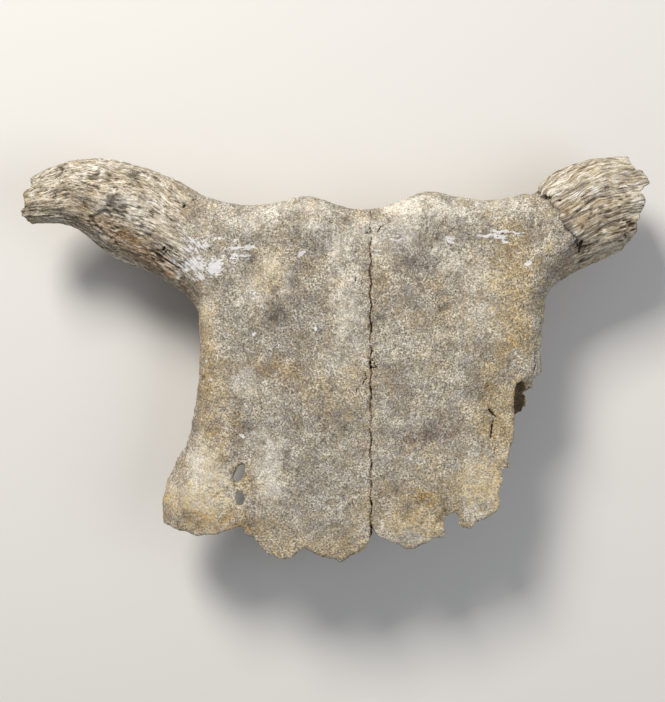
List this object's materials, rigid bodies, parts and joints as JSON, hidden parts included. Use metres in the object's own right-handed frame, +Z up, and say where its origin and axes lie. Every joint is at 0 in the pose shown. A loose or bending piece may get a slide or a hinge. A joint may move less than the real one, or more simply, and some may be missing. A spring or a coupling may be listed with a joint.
{
  "type": "fossil cow skull cap with horn cores",
  "caption": "Forehead and braincase roof of a cow's skull with the broken cores of both horns, lying forehead up on its broken rim.",
  "frame": {"origin": "middle of the underside of the bounding box, on the surface that the skull rests on", "axes": "+X across the forehead from the animal's right to its left, +Y up the forehead towards the poll, +Z up, out of the forehead"},
  "size_m": [0.3102, 0.201, 0.0581],
  "materials": {
    "weathered_bone": "dry matt weathered bone",
    "horn_core_bone": "dry matt grooved bone",
    "inner_bone": "dry matt broken bone"
  },
  "bodies": {
    "root": {"right_frontal": "weathered_bone", "left_frontal": "weathered_bone", "right_horn_core": "horn_core_bone", "left_horn_core": "horn_core_bone", "right_parietal": "inner_bone", "left_parietal": "inner_bone", "occipital": "inner_bone"}
  },
  "joints": []
}
